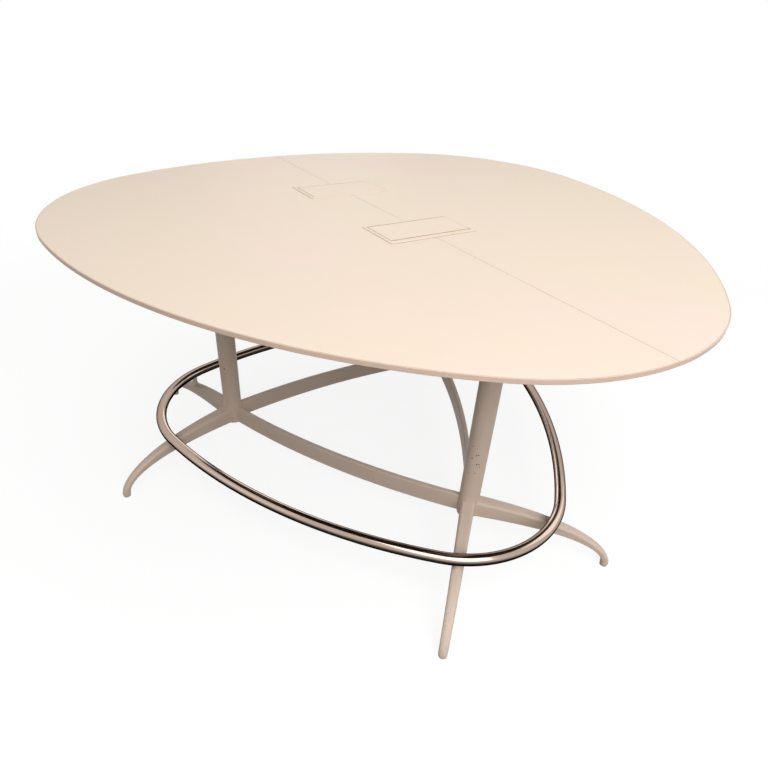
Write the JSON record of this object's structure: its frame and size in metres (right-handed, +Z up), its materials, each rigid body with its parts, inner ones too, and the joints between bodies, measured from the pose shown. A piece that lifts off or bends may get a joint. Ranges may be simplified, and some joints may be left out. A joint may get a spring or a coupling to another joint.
{
  "type": "conference table",
  "caption": "Standing-height conference table: rounded triangular split top with flip-up power hatches, tube columns, arched splayed legs, bowed stretchers and a polished foot ring.",
  "frame": {"origin": "centre of the overall box, on the floor that the glides stand on", "axes": "+Z up; the seam of the top runs along Y; one corner of the top, with a column under it, points to -Y"},
  "size_m": [2.0796, 2.058, 0.9825],
  "materials": {
    "top_laminate": "off-white satin laminate on board",
    "edge_band": "satin edge band",
    "hatch_trim": "satin, matched to the top",
    "frame_paint": "satin warm silver-grey paint, a little worn",
    "ring_steel": "polished",
    "hardware_steel": "plain zinc-bright steel",
    "box_sheet": "matt dark grey",
    "outlet_plastic": "matt",
    "dowel_wood": "raw beech",
    "glide_nylon": "satin"
  },
  "bodies": {
    "frame": {"top_panel_left": "top_laminate", "top_panel_right": "top_laminate", "edge_band_left": "edge_band", "edge_band_right": "edge_band", "seam_dowel_front": "dowel_wood", "seam_dowel_middle": "dowel_wood", "seam_dowel_centre": "dowel_wood", "seam_dowel_rear": "dowel_wood", "seam_bolt_front": "hardware_steel", "seam_bolt_centre": "hardware_steel", "seam_bolt_rear": "hardware_steel", "front_hatch_bezel": "hatch_trim", "front_hinge_pin": "hardware_steel", "front_power_box": "box_sheet", "front_outlet_strip": "outlet_plastic", "front_cable_gland": "outlet_plastic", "rear_hatch_bezel": "hatch_trim", "rear_hinge_pin": "hardware_steel", "rear_power_box": "box_sheet", "rear_outlet_strip": "outlet_plastic", "rear_cable_gland": "outlet_plastic", "foot_ring": "ring_steel", "front_column": "frame_paint", "front_column_cap": "frame_paint", "front_mounting_plate": "hardware_steel", "front_leg_right": "frame_paint", "front_ring_screw_right": "hardware_steel", "front_leg_left": "frame_paint", "front_ring_screw_left": "hardware_steel", "right_column": "frame_paint", "right_column_cap": "frame_paint", "right_mounting_plate": "hardware_steel", "right_leg_rear": "frame_paint", "right_ring_screw_rear": "hardware_steel", "right_leg_front": "frame_paint", "right_ring_screw_front": "hardware_steel", "left_column": "frame_paint", "left_column_cap": "frame_paint", "left_mounting_plate": "hardware_steel", "left_leg_front": "frame_paint", "left_ring_screw_front": "hardware_steel", "left_leg_rear": "frame_paint", "left_ring_screw_rear": "hardware_steel", "right_stretcher": "frame_paint", "rear_stretcher": "frame_paint", "left_stretcher": "frame_paint"},
    "front_lid": {"front_hatch_lid": "hatch_trim"},
    "rear_lid": {"rear_hatch_lid": "hatch_trim"},
    "glide_front_right": {"front_glide_right": "glide_nylon"},
    "glide_front_left": {"front_glide_left": "glide_nylon"},
    "glide_right_rear": {"right_glide_rear": "glide_nylon"},
    "glide_right_front": {"right_glide_front": "glide_nylon"},
    "glide_left_front": {"left_glide_front": "glide_nylon"},
    "glide_left_rear": {"left_glide_rear": "glide_nylon"}
  },
  "joints": [
    {"name": "front_lid_hinge", "type": "hinge", "parent": "frame", "child": "front_lid", "pos_m": [0, -0.0295, 0.978], "axis": [-1, 0, 0], "range_deg": [0, 100]},
    {"name": "rear_lid_hinge", "type": "hinge", "parent": "frame", "child": "rear_lid", "pos_m": [0, 0.3475, 0.978], "axis": [1, 0, 0], "range_deg": [0, 100]},
    {"name": "glide_front_right_screw", "type": "slide", "parent": "frame", "child": "glide_front_right", "axis": [0, 0, -1], "range_m": [0, 0.01]},
    {"name": "glide_front_left_screw", "type": "slide", "parent": "frame", "child": "glide_front_left", "axis": [0, 0, -1], "range_m": [0, 0.01]},
    {"name": "glide_right_rear_screw", "type": "slide", "parent": "frame", "child": "glide_right_rear", "axis": [0, 0, -1], "range_m": [0, 0.01]},
    {"name": "glide_right_front_screw", "type": "slide", "parent": "frame", "child": "glide_right_front", "axis": [0, 0, -1], "range_m": [0, 0.01]},
    {"name": "glide_left_front_screw", "type": "slide", "parent": "frame", "child": "glide_left_front", "axis": [0, 0, -1], "range_m": [0, 0.01]},
    {"name": "glide_left_rear_screw", "type": "slide", "parent": "frame", "child": "glide_left_rear", "axis": [0, 0, -1], "range_m": [0, 0.01]}
  ]
}
